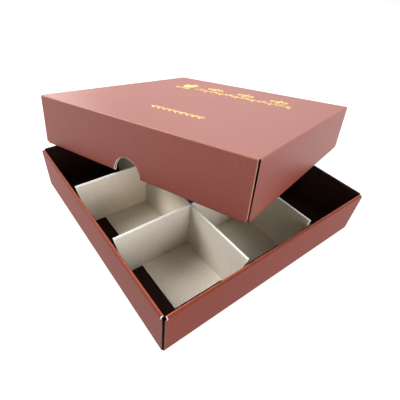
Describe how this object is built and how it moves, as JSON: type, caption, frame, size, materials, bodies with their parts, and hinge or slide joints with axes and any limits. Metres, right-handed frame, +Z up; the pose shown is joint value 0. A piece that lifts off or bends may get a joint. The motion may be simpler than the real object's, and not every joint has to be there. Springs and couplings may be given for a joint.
{
  "type": "chocolate box",
  "caption": "Shallow square box of thin folded board with rolled rims, a divided card insert and a deeper lid with thumb notches, shown leaning open on the tray.",
  "frame": {"origin": "middle of the underside of the tray, on the surface it stands on", "axes": "+Z up. X and Y run along the tray's walls. The tray's corner at -X and -Y is the near one in the picture. The lid leans on the tray's +Y and +X rims"},
  "size_m": [0.1631, 0.1635, 0.0638],
  "materials": {
    "board": "satin copper brown print outside, near black brown inside",
    "card": "pale grey white card, matt, with white folds and cut edges"
  },
  "bodies": {
    "tray_body": {"tray": "board", "insert_base": "card", "divider_front": "card", "divider_rear": "card"},
    "lid_body": {"lid": "board"}
  },
  "joints": [
    {"name": "lid_lift", "type": "slide", "parent": "tray_body", "child": "lid_body", "axis": [0, 0, 1], "range_m": [0, 0.06]}
  ]
}
